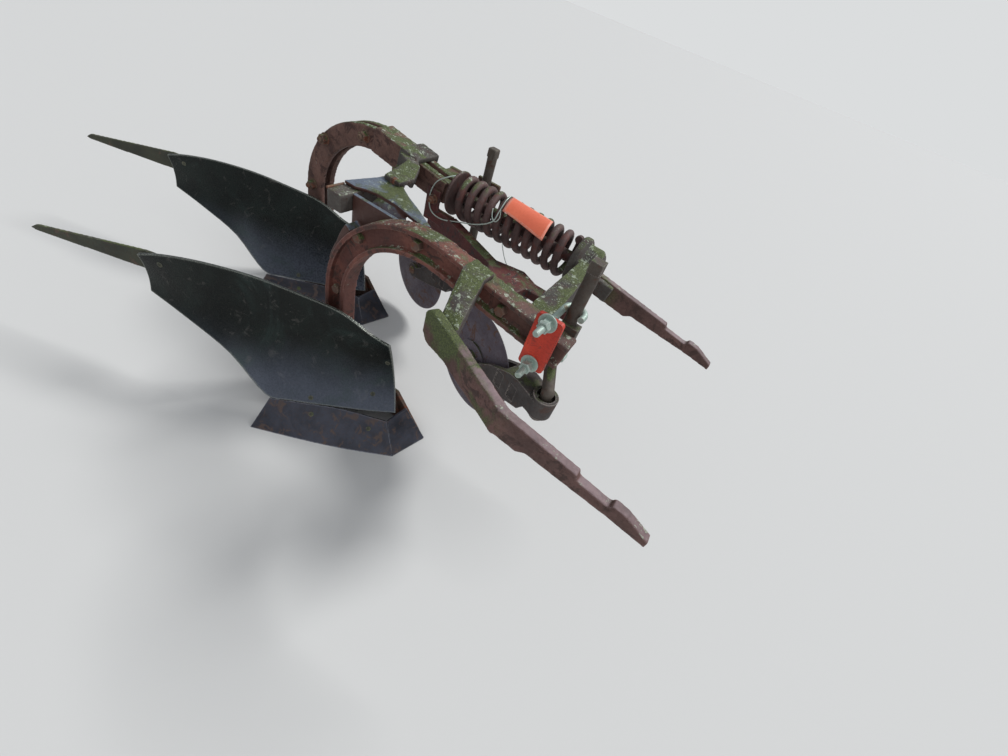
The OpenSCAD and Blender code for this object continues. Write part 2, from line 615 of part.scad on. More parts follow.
// Two hook bolts round the front shank, over and under the beam, with nuts on the right
module front_hook_bolts() color([0.66, 0.72, 0.7]) {
    c = COULTERS[0];
    x = c[0] - hook_ring;
    nut_y = -flange_w / 2 - pad_t - 2 * seat;
    for (s = [-1, 1]) translate([0, 0, clamp_h + s * bolt_gap / 2]) {
        rod([x, nut_y - 50, 0], [x, c[1], 0], bolt_d);
        translate([c[0], c[1], 0]) rotate_extrude(angle = 180) translate([hook_ring, 0]) circle(d = bolt_d);
        rod([c[0] + hook_ring, c[1], 0], [c[0] + hook_ring, c[1] - 16, 0], bolt_d);
        translate([x, nut_y, 0]) rotate([90, 0, 0]) cylinder(d = bolt_d * 2.7, h = 3);
        translate([x, nut_y - 3, 0]) rotate([90, 0, 0]) cylinder(d = bolt_d * 1.8, h = 12, $fn = 6);
    }
}
// Two straight bolts through the rear bracket, fore and aft of the shank
bolt_out = 26;
module rear_hook_bolts() color([0.4, 0.38, 0.36]) {
    c = COULTERS[1];
    out = c[1] + shank_d / 2 + 2 * seat + pad_t;
    for (s = [-1, 1]) translate([c[0] + s * hook_ring, 0, spring_h]) {
        rod([0, c[1] - shank_d / 2 - seat - pad_t + 1, 0], [0, out - seat + bolt_out, 0], bolt_d);
        translate([0, out, 0]) rotate([-90, 0, 0]) cylinder(d = bolt_d * 1.8, h = 12, $fn = 6);
    }
}

// Shank with its square top, the crank under the beam and the swivel pin. c is a row of COULTERS
module shank(c) {
    square_h = 24;
    kink = [c[0], c[1], c[3] + kink_up];
    low = [c[0] + crank[0], c[1] + crank[1], c[3] + low_up];
    floor_z = c[3] + collar_h / 2 - cup_h + pin_gap;
    under = c[3] - collar_h / 2 - pin_gap;
    translate(kink) cylinder(d = shank_d, h = c[2] - square_h - kink[2]);
    translate([c[0] - 13, c[1] - 13, c[2] - square_h - 0.01]) cube([26, 26, square_h + 0.01]);
    translate(kink) sphere(d = shank_d + 3);
    rod(kink, low, shank_d);
    translate(low) sphere(d = shank_d + 3);
    translate([low[0], low[1], floor_z]) cylinder(d = shank_d, h = low[2] - floor_z);
    translate([low[0], low[1], under - 22]) cylinder(d = spindle_d, h = low[2] - under + 22);
    translate([low[0], low[1], under - 14]) cylinder(d = shank_d + 10, h = 14);
}
module front_shank() color([0.32, 0.29, 0.26]) shank(COULTERS[0]);
module rear_shank() color([0.3, 0.27, 0.22]) shank(COULTERS[1]);

// Yoke frame of a coulter: zero at the middle of the swivel's collar, +X forward along the yoke
module yoke_frame(c) translate([c[0] + crank[0], c[1] + crank[1], c[3]]) rotate([0, 0, -c[4]]) children();
// Cast fork that drops from the swivel's cupped collar back to the disc's hub
module yoke(c) yoke_frame(c) difference() {
    inside = hub_w / 2 + 2;
    half = inside + arm_t;
    hub = [-trail, -hub_drop];
    pocket = [[-120, -30], [-70, -26]];
    union() {
        translate([0, 0, -collar_h / 2]) cylinder(d = collar_d, h = collar_h);
        plate(-half, half) {
            polygon([hub + [-22, 12], hub + [24, 22], hub + [50, 40], [-161, -22], [-118, 2], [-92, 14], [-67, 20],
                     [-30, 18], [0, 14], [0, -24], [-24, -26], [-38, -48], [-70, -60], [-130, -84], hub + [14, -22],
                     hub + [-14, -22]]);
            translate(hub) circle(d = 52);
        }
    }
    translate([0, 0, -collar_h]) cylinder(d = spindle_d + 2 * fit, h = 2 * collar_h);
    translate([0, 0, collar_h / 2 - cup_h]) cylinder(d = cup_d, h = cup_h + 1);
    translate([hub[0], 2 * half, hub[1]]) rotate([90, 0, 0]) cylinder(d = axle_d + 2 * fit, h = 4 * half);
    // Open space where the disc turns
    translate([hub[0], inside, hub[1]]) rotate([90, 0, 0]) cylinder(r = disc_d / 2 + 14, h = 2 * inside);
    // Cast pockets in both sides
    for (p = pocket, s = [-1, 1]) translate([p[0], s * half, p[1]])
        cube([24, 6, 42], center = true);
}
module front_yoke() color([0.17, 0.16, 0.16]) yoke(COULTERS[0]);
module rear_yoke() color([0.17, 0.16, 0.16]) yoke(COULTERS[1]);

// Rolling disc with bevelled edge, hub flanges and axle
module disc(c) yoke_frame(c) translate([-trail, 0, -hub_drop]) rotate([90, 0, 0]) {
    bevel = 14;
    rotate_extrude($fn = 96) polygon([[0, -disc_t / 2], [disc_d / 2 - bevel, -disc_t / 2], [disc_d / 2, -0.5],
        [disc_d / 2, 0.5], [disc_d / 2 - bevel, disc_t / 2], [0, disc_t / 2]]);
    translate([0, 0, -hub_w / 2]) cylinder(d = 62, h = hub_w);
    translate([0, 0, -disc_t / 2 - 6]) cylinder(d = 110, h = disc_t + 12);
    translate([0, 0, -hub_w / 2 - 2 - arm_t - 6]) cylinder(d = axle_d, h = hub_w + 4 + 2 * arm_t + 12);
}
module front_disc() color([0.4, 0.36, 0.4]) disc(COULTERS[0]);
module rear_disc() color([0.4, 0.36, 0.4]) disc(COULTERS[1]);

// The whole stands on its shares and landsides, centred over its own outline
x_front = prong_reach + (prong_rise - prong_d * 0.36) * sin(beam_slope);
tail_out = -tail_l * cos(tail_rise) + tail_tip * sin(tail_rise);
x_rear = -body_step - mold_l + 20 + cos(tail_turn) * tail_out;
y_right = -mold_throw + tail_in + sin(tail_turn) * tail_out - tail_t * cos(tail_turn);
y_left = COULTERS[1][1] + shank_d / 2 + seat + pad_t + bolt_out;
module stand() translate([-(x_front + x_rear) / 2, -(y_left + y_right) / 2, 0]) children();

stand() {
    front_beam();
    rear_beam();
    beam_spacers();
    beam_plate();
    front_frog();
    rear_frog();
    front_moldboard();
    rear_moldboard();
    front_share();
    rear_share();
    front_landside();
    rear_landside();
    front_tail();
    rear_tail();
    front_brace();
    rear_brace();
    cross_bar();
    gusset_bracket();
    hook_clamp();
    diagonal_channel();
    spring_seat();
    draft_rod();
    coil_spring();
    cross_casting();
    prong_arm();
    right_prong();
    left_prong();
    front_clamp();
    rear_clamp();
    front_hook_bolts();
    rear_hook_bolts();
    front_shank();
    rear_shank();
    front_yoke();
    rear_yoke();
    front_disc();
    rear_disc();
}
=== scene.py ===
# Two-bottom moldboard plough: worn surfaces, fasteners, camera and light
import json
import math
from collections import namedtuple

import bmesh
import bpy
from mathutils import Matrix, Vector, noise
from mathutils.bvhtree import BVHTree


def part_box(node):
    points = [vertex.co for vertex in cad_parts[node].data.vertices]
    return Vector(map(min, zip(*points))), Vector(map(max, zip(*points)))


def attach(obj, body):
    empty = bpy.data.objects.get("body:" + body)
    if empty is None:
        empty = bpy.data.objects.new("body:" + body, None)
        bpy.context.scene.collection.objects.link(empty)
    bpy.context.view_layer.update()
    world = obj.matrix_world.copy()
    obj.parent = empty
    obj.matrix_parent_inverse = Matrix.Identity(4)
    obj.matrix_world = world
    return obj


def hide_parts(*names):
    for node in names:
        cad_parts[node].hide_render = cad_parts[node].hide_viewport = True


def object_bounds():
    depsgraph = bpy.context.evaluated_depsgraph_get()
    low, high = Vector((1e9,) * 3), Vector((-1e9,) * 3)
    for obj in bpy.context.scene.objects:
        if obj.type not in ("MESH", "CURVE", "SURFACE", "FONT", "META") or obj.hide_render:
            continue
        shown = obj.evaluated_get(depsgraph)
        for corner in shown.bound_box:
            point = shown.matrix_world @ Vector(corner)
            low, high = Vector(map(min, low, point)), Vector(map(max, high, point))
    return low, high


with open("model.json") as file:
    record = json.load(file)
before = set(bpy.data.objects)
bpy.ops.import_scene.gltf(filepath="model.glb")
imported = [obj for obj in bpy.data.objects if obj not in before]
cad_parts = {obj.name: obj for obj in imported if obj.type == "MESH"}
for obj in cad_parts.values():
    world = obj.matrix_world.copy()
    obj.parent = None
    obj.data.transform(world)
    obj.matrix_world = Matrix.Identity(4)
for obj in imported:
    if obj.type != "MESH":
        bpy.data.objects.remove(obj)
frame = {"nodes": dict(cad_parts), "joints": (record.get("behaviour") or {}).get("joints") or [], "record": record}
CAD_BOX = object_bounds()
MM = 0.001
RIGHT, LEFT, UP = Vector((0, -1, 0)), Vector((0, 1, 0)), Vector((0, 0, 1))

# Many places below are in part.scad's level frame, which starts at the front share's point. The
# rear of the front beam's arch is known in that frame, and so ties it to the part's frame.
ARCH_REAR = -376 * MM
beam_low, beam_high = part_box("front_beam")
BEAM_MIDDLE = (beam_low.y + beam_high.y) / 2
POINT = Vector((beam_low.x - ARCH_REAR, BEAM_MIDDLE, 0))
# The way from the front bottom to the rear one
REAR_STEP = Vector((-478, 356, 0)) * MM


def at(x, y, z):
    """A place in the level frame, in millimetres, as a vector in the part's frame."""
    return POINT + Vector((x, y, z)) * MM


# Camera: solved from the photo, with its place in the level frame (mm)

FOCAL_PX, PICTURE_PX = 419.0, 1008
CAMERA_MM = (380.15, -689.94, 1093.66)
AZIMUTH, ELEVATION, ROLL = math.radians(73.5), math.radians(42.59), math.radians(22.43)
SENSOR_MM, FAR_CLIP_M = 36, 50


def make_camera():
    level = math.cos(ELEVATION)
    look = Vector((-math.cos(AZIMUTH) * level, math.sin(AZIMUTH) * level, -math.sin(ELEVATION)))
    right = look.cross(UP).normalized()
    up = right.cross(look)
    x_axis = right * math.cos(ROLL) + up * math.sin(ROLL)
    y_axis = up * math.cos(ROLL) - right * math.sin(ROLL)
    turned = Matrix((x_axis, y_axis, -look)).transposed().to_4x4()
    data = bpy.data.cameras.new("camera")
    data.sensor_width = SENSOR_MM
    data.lens = FOCAL_PX * SENSOR_MM / PICTURE_PX
    data.clip_end = FAR_CLIP_M
    camera = bpy.data.objects.new("camera", data)
    camera.matrix_world = Matrix.Translation(at(*CAMERA_MM)) @ turned
    bpy.context.scene.collection.objects.link(camera)
    bpy.context.scene.camera = camera


# Materials

# Two coat colours, the colour under the coat and how bare the surface is, the colour of worn
# edges (on the moldboard and the yoke partly a painted highlight), the amounts of moss and
# lichen, roughness, and how metallic the coat is. The amounts run from 0 to about 1.
Finish = namedtuple("Finish", "light dark under bare edge moss lichen rough metal")
FINISHES = {name: Finish(*row) for name, row in {
    "front_beam": ("754539", "512c25", "3b2620", 0.42, "97746a", 0.12, 0.85, 0.74, 0.0),
    "tag": ("e0704e", "d66445", "c85f42", 0.10, "e59a86", 0.00, 0.00, 0.55, 0.0),
    "rear_beam": ("6f5046", "4d352d", "3d2620", 0.44, "8b756a", 0.34, 0.85, 0.80, 0.0),
    "frog": ("4a3a32", "35281f", "5a3524", 0.40, "6a584c", 0.10, 0.05, 0.90, 0.0),
    # The moldboard's pale edge colour also paints a highlight along its rims
    "moldboard": ("141d1a", "0a0f0d", "24231f", 0.22, "8f938b", 0.00, 0.00, 0.30, 0.6),
    "share": ("3a3d48", "21242c", "463630", 0.36, "8b8e98", 0.00, 0.00, 0.44, 0.5),
    "landside": ("59493f", "42342b", "6a3f2b", 0.45, "7b6a5d", 0.05, 0.00, 0.80, 0.2),
    "tail": ("383b2c", "262a20", "4a3a2e", 0.25, "6b6c5c", 0.15, 0.05, 0.70, 0.1),
    "casting": ("504b47", "33302c", "40302a", 0.40, "85837c", 0.27, 1.15, 0.84, 0.0),
    # The gusset's blue-grey coat colours are a painted sky reflection, kept on its top faces only
    "gusset": ("6d7887", "4f5a69", "443a34", 0.30, "a3adb8", 0.12, 0.45, 0.52, 0.3),
    "channel": ("5a211d", "3f1816", "2f2321", 0.42, "776a66", 0.12, 0.15, 0.66, 0.0),
    "prong": ("6a4c46", "4c3530", "3c2620", 0.42, "9a8482", 0.30, 0.25, 0.68, 0.15),
    "spring": ("594441", "3c2c2a", "55302a", 0.38, "82706b", 0.12, 0.45, 0.72, 0.1),
    "clamp_red": ("d63f22", "b62e19", "5e2a20", 0.08, "5a3c34", 0.00, 0.02, 0.55, 0.0),
    "rust": ("5f4b40", "47362d", "683a28", 0.45, "83705f", 0.20, 0.15, 0.88, 0.0),
    "zinc": ("b4c4bb", "95a79e", "7f7a66", 0.20, "d6ded8", 0.00, 0.00, 0.48, 0.5),
    "shank": ("59524a", "453e38", "4a3429", 0.35, "857f79", 0.10, 0.10, 0.72, 0.2),
    # The yoke's light edge colour is partly worn edges and partly a painted highlight on its rims
    "yoke": ("4c4745", "332f2f", "46332c", 0.34, "a59c96", 0.06, 0.20, 0.70, 0.2),
    "disc": ("6d6670", "57505a", "5b4036", 0.35, "8f8a92", 0.05, 0.05, 0.60, 0.4),
}.items()}
BUMP_STRENGTH, BUMP_DEPTH = 0.8, 1.2 * MM


def linear(code):
    """A colour written as RRGGBB, as the shader's linear values."""
    parts = [int(code[i:i + 2], 16) / 255 for i in (0, 2, 4)]
    return tuple(c / 12.92 if c < 0.04045 else ((c + 0.055) / 1.055) ** 2.4 for c in parts) + (1,)


# The dark and the light colour of each growth
MOSS = (linear("31361f"), linear("636f3d"))
LICHEN = (linear("87927f"), linear("b3bcaa"))


class Shader:
    """The node material of one finish, with short calls for the nodes that it needs."""

    def __init__(self, name):
        self.look = FINISHES[name]
        self.material = bpy.data.materials.new("worn_" + name)
        self.material.use_nodes = True
        self.tree = self.material.node_tree
        self.tree.nodes.clear()
        self.place = self.node("TexCoord").outputs["Object"]
        self.patches = self.noise(9, 6, 0.65, 0.4)
        self.grain = self.noise(160, 5, 0.7)
        self.pits = self.noise(520, 3, 0.75)
        self.up = self.upward(0.25, 0.85)

    def node(self, kind, **settings):
        made = self.tree.nodes.new("ShaderNode" + kind)
        for key, value in settings.items():
            setattr(made, key, value)
        return made

    def join(self, socket, value):
        if isinstance(value, bpy.types.NodeSocket):
            self.tree.links.new(value, socket)
        else:
            socket.default_value = value

    def noise(self, scale, detail, rough, twist=0.0):
        made = self.node("TexNoise")
        for key, value in (("Vector", self.place), ("Scale", scale), ("Detail", detail),
                           ("Roughness", rough), ("Distortion", twist)):
            self.join(made.inputs[key], value)
        return made.outputs["Fac"]

    def spots(self, scale, ragged_scale=120, ragged_by=0.022):
        """The distance to the middle of scattered spots with ragged outlines."""
        ragged = self.node("TexNoise")
        self.join(ragged.inputs["Vector"], self.place)
        self.join(ragged.inputs["Scale"], ragged_scale)
        moved = self.node("VectorMath", operation="MULTIPLY_ADD")
        self.join(moved.inputs[0], ragged.outputs["Color"])
        self.join(moved.inputs[1], (ragged_by, ragged_by, ragged_by))
        self.join(moved.inputs[2], self.place)
        made = self.node("TexVoronoi")
        self.join(made.inputs["Vector"], moved.outputs[0])
        self.join(made.inputs["Scale"], scale)
        return made.outputs["Distance"]

    def step(self, value, low, high, to_low=0.0, to_high=1.0):
        made = self.node("MapRange", interpolation_type="SMOOTHSTEP")
        for key, number in (("Value", value), ("From Min", low), ("From Max", high),
                            ("To Min", to_low), ("To Max", to_high)):
            self.join(made.inputs[key], number)
        return made.outputs["Result"]

    def math(self, kind, a, b):
        made = self.node("Math", operation=kind)
        self.join(made.inputs[0], a)
        self.join(made.inputs[1], b)
        return made.outputs[0]

    def plus(self, a, b):
        return self.math("ADD", a, b)

    def times(self, a, b):
        return self.math("MULTIPLY", a, b)

    def mix(self, factor, a, b):
        made = self.node("Mix", data_type="RGBA")
        self.join(made.inputs[0], factor)
        self.join(made.inputs[6], a)
        self.join(made.inputs[7], b)
        return made.outputs[2]

    def axis(self, vector, index):
        made = self.node("SeparateXYZ")
        self.join(made.inputs[0], vector)
        return made.outputs[index]

    def upward(self, low, high):
        """0 on upright and hanging faces and 1 on level top faces."""
        return self.step(self.axis(self.node("NewGeometry").outputs["Normal"], 2), low, high)

    def edges(self, radius):
        """1 along sharp edges and 0 on open faces."""
        bevel = self.node("Bevel")
        self.join(bevel.inputs["Radius"], radius)
        dot = self.node("VectorMath", operation="DOT_PRODUCT")
        self.join(dot.inputs[0], bevel.outputs[0])
        self.join(dot.inputs[1], self.node("NewGeometry").outputs["True Normal"])
        return self.step(dot.outputs["Value"], 0.995, 0.86)

    def finish(self, colour, roughness, metallic, height):
        bump = self.node("Bump")
        self.join(bump.inputs["Strength"], BUMP_STRENGTH)
        self.join(bump.inputs["Distance"], BUMP_DEPTH)
        self.join(bump.inputs["Height"], height)
        shader = self.node("BsdfPrincipled")
        for key, value in (("Base Color", colour), ("Roughness", roughness),
                           ("Metallic", metallic), ("Normal", bump.outputs[0])):
            self.join(shader.inputs[key], value)
        self.join(self.node("OutputMaterial").inputs[0], shader.outputs[0])
        return self.material


def painted_reflection_and_streaks(s, colour):
    """A painted reflection, blue-grey low on the moldboards, and pale streaks all over them."""
    wavy = s.plus(s.axis(s.place, 2), s.times(s.noise(7, 5, 0.6, 0.6), 0.09))
    # Painted reflection: blue-grey is mixed in below a wavy line on the lower part of the moldboard
    low = s.times(s.step(wavy, 0.30, 0.15), 0.75)
    colour = s.mix(low, colour, s.mix(s.grain, linear("363d48"), linear("5b606d")))
    streak = s.times(s.step(s.noise(3.2, 6, 0.7, 1.4), 0.52, 0.66), 0.45)
    return s.mix(streak, colour, linear("2c3b38"))


def own_tones(s, name, colour):
    """What a finish has beyond the wear that all of them share, painted highlights and reflections among it."""
    if name == "moldboard":
        # Painted highlight: a pale band along the moldboard's edges, in its edge colour
        painted_rim_highlight = s.times(s.edges(0.006), 0.8)
        return s.mix(painted_rim_highlight, painted_reflection_and_streaks(s, colour), linear(s.look.edge))
    if name == "front_beam":
        front = s.step(s.axis(s.place, 0), at(20, 0, 0).x, at(190, 0, 0).x, 0.0, 0.65)
        return s.mix(front, colour, s.mix(s.patches, linear("2c2622"), linear("5a4740")))
    if name == "prong":
        # Painted highlight: the prongs' level top faces are lightened towards a pale mauve, in patches
        painted_top_sheen = s.times(s.upward(0.7, 0.98), s.step(s.patches, 0.25, 0.7, 0.25, 0.75))
        return s.mix(painted_top_sheen, colour, linear("8c7b7f"))
    if name == "gusset":
        rusty = s.mix(s.patches, linear("3b2a25"), linear("57362e"))
        # Painted reflection: top faces keep the finish's blue-grey, which stands for the sky reflected there; the
        # other faces are rusty brown
        return s.mix(s.upward(0.55, 0.8), rusty, colour)
    return colour


def mossy_part(s, name):
    """1 where moss grows: on top faces and in damp patches, and on the prongs' rear ends."""
    if name == "prong":
        rear = s.step(s.axis(s.place, 0), at(300, 0, 0).x, at(230, 0, 0).x)
        return s.times(rear, s.step(s.noise(12, 5, 0.65, 0.5), 0.40, 0.56))
    damp = s.plus(s.times(s.up, 0.35), s.noise(14, 5, 0.6, 0.5))
    less = 0.42 * s.look.moss
    return s.step(damp, 0.86 - less, 1.0 - less)


def grow_moss(s, name, colour, height):
    mossy, tuft = mossy_part(s, name), s.noise(420, 4, 0.8)
    colour = s.mix(mossy, colour, s.mix(s.step(tuft, 0.4, 0.65), *MOSS))
    return colour, s.plus(height, s.times(mossy, s.times(tuft, 1.4)))


def grow_lichen(s, colour, height):
    """Small and large crusts, in patches that lie mostly on top faces."""
    small = s.step(s.plus(s.spots(150), s.times(s.pits, 0.4)), 0.50, 0.34, 0.0, 0.85)
    large = s.step(s.plus(s.spots(48), s.times(s.grain, 0.5)), 0.56, 0.42, 0.0, 0.75)
    damp = s.plus(s.noise(19, 5, 0.75, 0.5), s.times(s.up, 0.20))
    less = 0.16 * s.look.lichen
    crust = s.times(s.math("MAXIMUM", small, large), s.step(damp, 0.74 - less, 0.84 - less))
    colour = s.mix(crust, colour, s.mix(s.step(s.pits, 0.4, 0.6), *LICHEN))
    return colour, s.plus(height, s.times(crust, 0.5))


def weathered(name):
    s = Shader(name)
    look = s.look
    colour = s.mix(s.step(s.patches, 0.35, 0.65), linear(look.dark), linear(look.light))
    bare_from = 0.62 - 0.25 * look.bare
    bare = s.step(s.noise(26, 8, 0.72, 0.8), bare_from, bare_from + 0.08)
    colour = s.mix(bare, colour, linear(look.under))
    # Worn edges in the edge colour; on the moldboard and the yoke this colour also paints a highlight along the
    # edges
    worn = s.times(s.edges(0.004), s.step(s.grain, 0.35, 0.6))
    colour = s.mix(worn, colour, linear(look.edge))
    colour = s.mix(s.step(s.grain, 0.42, 0.72, 0.0, 0.35), colour, linear(look.under))
    colour = own_tones(s, name, colour)
    height = s.plus(s.times(s.grain, 0.6), s.times(s.pits, 0.4))
    if look.moss:
        colour, height = grow_moss(s, name, colour, height)
    if look.lichen:
        colour, height = grow_lichen(s, colour, height)
    roughness = s.step(s.grain, 0.2, 0.8, look.rough - 0.12, look.rough + 0.1)
    metallic = s.step(bare, 0.0, 1.0, look.metal, look.metal * 0.3)
    return s.finish(colour, roughness, metallic, height)


MATERIALS = {name: weathered(name) for name in FINISHES}
NODE_FINISH = {
    "front_beam": "front_beam", "rear_beam": "rear_beam", "beam_spacers": "rear_beam",
    "beam_plate": "rear_beam", "front_frog": "frog", "rear_frog": "frog",
    "front_moldboard": "moldboard", "rear_moldboard": "moldboard",
    "front_share": "share", "rear_share": "share",
    "front_landside": "landside", "rear_landside": "landside",
    "front_tail": "tail", "rear_tail": "tail",
    "front_brace": "landside", "rear_brace": "landside",
    "cross_bar": "casting", "gusset_bracket": "gusset", "hook_clamp": "casting",
    "diagonal_channel": "channel", "spring_seat": "spring", "draft_rod": "spring",
    "coil_spring": "spring", "cross_casting": "casting", "prong_arm": "casting",
    "right_prong": "prong", "left_prong": "prong",
    "front_clamp": "clamp_red", "rear_clamp": "rust",
    "front_hook_bolts": "zinc", "rear_hook_bolts": "rust",
    "front_shank": "shank", "rear_shank": "shank",
    "front_yoke": "yoke", "rear_yoke": "yoke", "front_disc": "disc", "rear_disc": "disc",
}


def paint_nodes():
    for name, node in frame["nodes"].items():
        node.data.materials.clear()
        node.data.materials.append(MATERIALS[NODE_FINISH[name]])


# Dressed copies of the solids, with the soft edges of old iron

CREASE = math.radians(32)
ROUNDED_FROM = math.radians(40)
WELD_WITHIN = 0.02 * MM


def body_of_node(name):
    for body, nodes in frame["record"]["behaviour"]["bodies"].items():
        if name in nodes:
            return body
    raise KeyError(name)


def finished(name, work, finish, body):
    """An object from a bmesh, with its finish, that rides on a body."""
    mesh = bpy.data.meshes.new(name)
    work.to_mesh(mesh)
    work.free()
    made = bpy.data.objects.new(name, mesh)
    bpy.context.scene.collection.objects.link(made)
    mesh.materials.append(MATERIALS[finish])
    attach(made, body)
    return made


def worn_copy(name, work):
    """The piece that takes a node's place in the render."""
    return finished(name + "_worn", work, NODE_FINISH[name], body_of_node(name))


def welded(name):
    work = bmesh.new()
    work.from_mesh(frame["nodes"][name].data)
    bmesh.ops.remove_doubles(work, verts=work.verts, dist=WELD_WITHIN)
    return work


def crease(work):
    for face in work.faces:
        face.smooth = True
    for edge in work.edges:
        edge.smooth = edge.is_manifold and edge.calc_face_angle(0) < CREASE


def displace(piece, label, size, height_mm, depth=3, middle=0.5):
    """Lumps of one size over a piece's surface."""
    texture = bpy.data.textures.new(piece.name + "_" + label, "CLOUDS")
    texture.noise_scale = size
    texture.noise_depth = depth
    lumps = piece.modifiers.new(label, "DISPLACE")
    lumps.texture = texture
    lumps.texture_coords = "LOCAL"
    lumps.strength = height_mm * MM
    lumps.mid_level = middle


def dress_machined(name, round_mm):
    """A copy of a node with small rounds on its edges."""
    work = welded(name)
    crease(work)
    piece = worn_copy(name, work)
    bevel = piece.modifiers.new("round", "BEVEL")
    bevel.width = round_mm * MM
    bevel.segments = 2
    bevel.limit_method = "ANGLE"
    bevel.angle_limit = ROUNDED_FROM
    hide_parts(name)
    return piece


def dress_front_clamp():
    """The clamp's plate stays red, and its saddle on the shank's side is bare dark iron."""
    piece = dress_machined("front_clamp", 1.2)
    piece.data.materials.append(MATERIALS["shank"])
    for face in piece.data.polygons:
        face.material_index = 1 if face.center.y > BEAM_MIDDLE else 0


def dress_rough(name, voxel_mm, smooth_steps, lumps_mm):
    """A copy of a node with rounded, uneven surfaces, as castings and rusted bars have."""
    piece = worn_copy(name, welded(name))
    remesh = piece.modifiers.new("even", "REMESH")
    remesh.mode = "VOXEL"
    remesh.voxel_size = voxel_mm * MM
    remesh.use_smooth_shade = True
    soften = piece.modifiers.new("soften", "SMOOTH")
    soften.factor = 0.5
    soften.iterations = smooth_steps
    displace(piece, "lumps", 0.035, lumps_mm)
    displace(piece, "pits", 0.008, lumps_mm * 0.5)
    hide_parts(name)


# Columns: node, voxel (mm), smoothing steps, height of the lumps (mm)
ROUGH = (
    ("front_beam", 3.6, 2, 0.7), ("rear_beam", 3.8, 2, 1.2), ("beam_plate", 3.0, 2, 1.0),
    ("cross_bar", 3.0, 3, 1.2), ("gusset_bracket", 2.8, 3, 0.9), ("hook_clamp", 2.8, 4, 1.6),
    ("diagonal_channel", 2.6, 2, 0.8), ("spring_seat", 2.6, 3, 1.2),
    ("cross_casting", 2.8, 4, 1.8), ("prong_arm", 2.6, 5, 2.2), ("right_prong", 2.6, 3, 1.0),
    ("left_prong", 2.6, 3, 1.0), ("rear_clamp", 2.6, 2, 0.8), ("front_tail", 2.4, 2, 0.5),
    ("rear_tail", 2.4, 2, 0.5), ("rear_shank", 2.4, 2, 1.4), ("front_frog", 4.5, 2, 1.0),
    ("rear_frog", 4.5, 2, 1.0),
)
# Columns: node, round of its edges (mm)
MACHINED = (
    ("front_moldboard", 1.2), ("rear_moldboard", 1.2), ("front_share", 0.8), ("rear_share", 0.8),
    ("front_landside", 1.5), ("rear_landside", 1.5), ("front_shank", 0.8),
    ("front_hook_bolts", 0.5), ("rear_hook_bolts", 0.5), ("front_disc", 0.4), ("rear_disc", 0.4),
    ("draft_rod", 1.0), ("front_yoke", 1.4), ("rear_yoke", 1.4), ("front_brace", 1.0),
    ("rear_brace", 1.0), ("beam_spacers", 1.0),
)


def ring(work, centre, side, up, radius, sides, turn=0.0):
    """A ring of vertices round a centre, in the plane of side and up."""
    angles = (turn + 2 * math.pi * k / sides for k in range(sides))
    return [work.verts.new(centre + (side * math.cos(a) + up * math.sin(a)) * radius)
            for a in angles]


def skin(work, rings, smooth):
    """Faces from ring to ring, and a flat end on the first and the last."""
    for a, b in zip(rings, rings[1:]):
        for k in range(len(a)):
            after = (k + 1) % len(a)
            work.faces.new((a[k], a[after], b[after], b[k])).smooth = smooth
    work.faces.new(list(reversed(rings[0])))
    work.faces.new(rings[-1])


def tube(work, points, radius, sides):
    """A round tube along points."""
    rings = []
    side = (points[1] - points[0]).normalized().orthogonal().normalized()
    for i, point in enumerate(points):
        ahead = (points[min(i + 1, len(points) - 1)] - points[max(i - 1, 0)]).normalized()
        side = (side - ahead * side.dot(ahead)).normalized()
        rings.append(ring(work, point, side, ahead.cross(side), radius, sides))
    skin(work, rings, True)


SPRING_WIRE = 21 * MM
SPRING_TURNS, STEPS_TO_A_TURN, WIRE_SIDES = 11.5, 44, 16
SCALE_SIZE, SCALE_MM = 0.012, 0.8


def make_spring():
    """The cushion spring as a finer helix, of the solid's own wire, diameter and turns."""
    low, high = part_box("coil_spring")
    radius = (high.y - low.y - SPRING_WIRE) / 2
    middle = Vector((0, (low.y + high.y) / 2, (low.z + high.z) / 2))
    start, end = low.x + SPRING_WIRE / 2, high.x - SPRING_WIRE / 2
    count = round(SPRING_TURNS * STEPS_TO_A_TURN)
    points = []
    for i in range(count + 1):
        done = i / count
        angle = 2 * math.pi * SPRING_TURNS * done
        points.append(middle + Vector((start + (end - start) * done, radius * math.sin(angle),
                                       -radius * math.cos(angle))))
    work = bmesh.new()
    tube(work, points, SPRING_WIRE / 2, WIRE_SIDES)
    piece = worn_copy("coil_spring", work)
    displace(piece, "scale", SCALE_SIZE, SCALE_MM, depth=2, middle=0.6)
    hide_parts("coil_spring")


# Fasteners

# How far a bolt and a hook bolt's washer are sunk into what they lie on, so that no gap shows
SUNK_BOLT, SUNK_WASHER = 0.6 * MM, 0.2 * MM
WASHER_THICK = 3.0
# A head's height and its thread's diameter, as a share of the width across flats
HEAD_SHARE = 0.62
# Rows of radius and height (mm) from the surface out
DISHED_HEAD = ((7, -0.3), (7, 0.3), (6.2, 0.5), (2.6, 0.1))
HUB_CAP = ((15, 0.2), (15, 2.4), (13, 3.4), (11.2, 3.6), (11.2, 7.2), (9, 8.4), (3, 8.8))


def lathe(work, rows, place, axis, sides, turn=0.0, smooth=False):
    """A turned or, with six sides, hexagonal shape: rows of radius and height along the axis."""
    axis = axis.normalized()
    side = axis.orthogonal().normalized()
    up = axis.cross(side)
    rings = [ring(work, place + axis * height * MM, side, up, radius * MM, sides, turn)
             for radius, height in rows]
    skin(work, rings, smooth)


def hexagon(work, place, axis, across, height, turn):
    r = across / math.sqrt(3)
    rows = ((r * 0.93, 0), (r, 0.8), (r, height * 0.8), (r * 0.86, height))
    lathe(work, rows, place, axis, 6, turn)


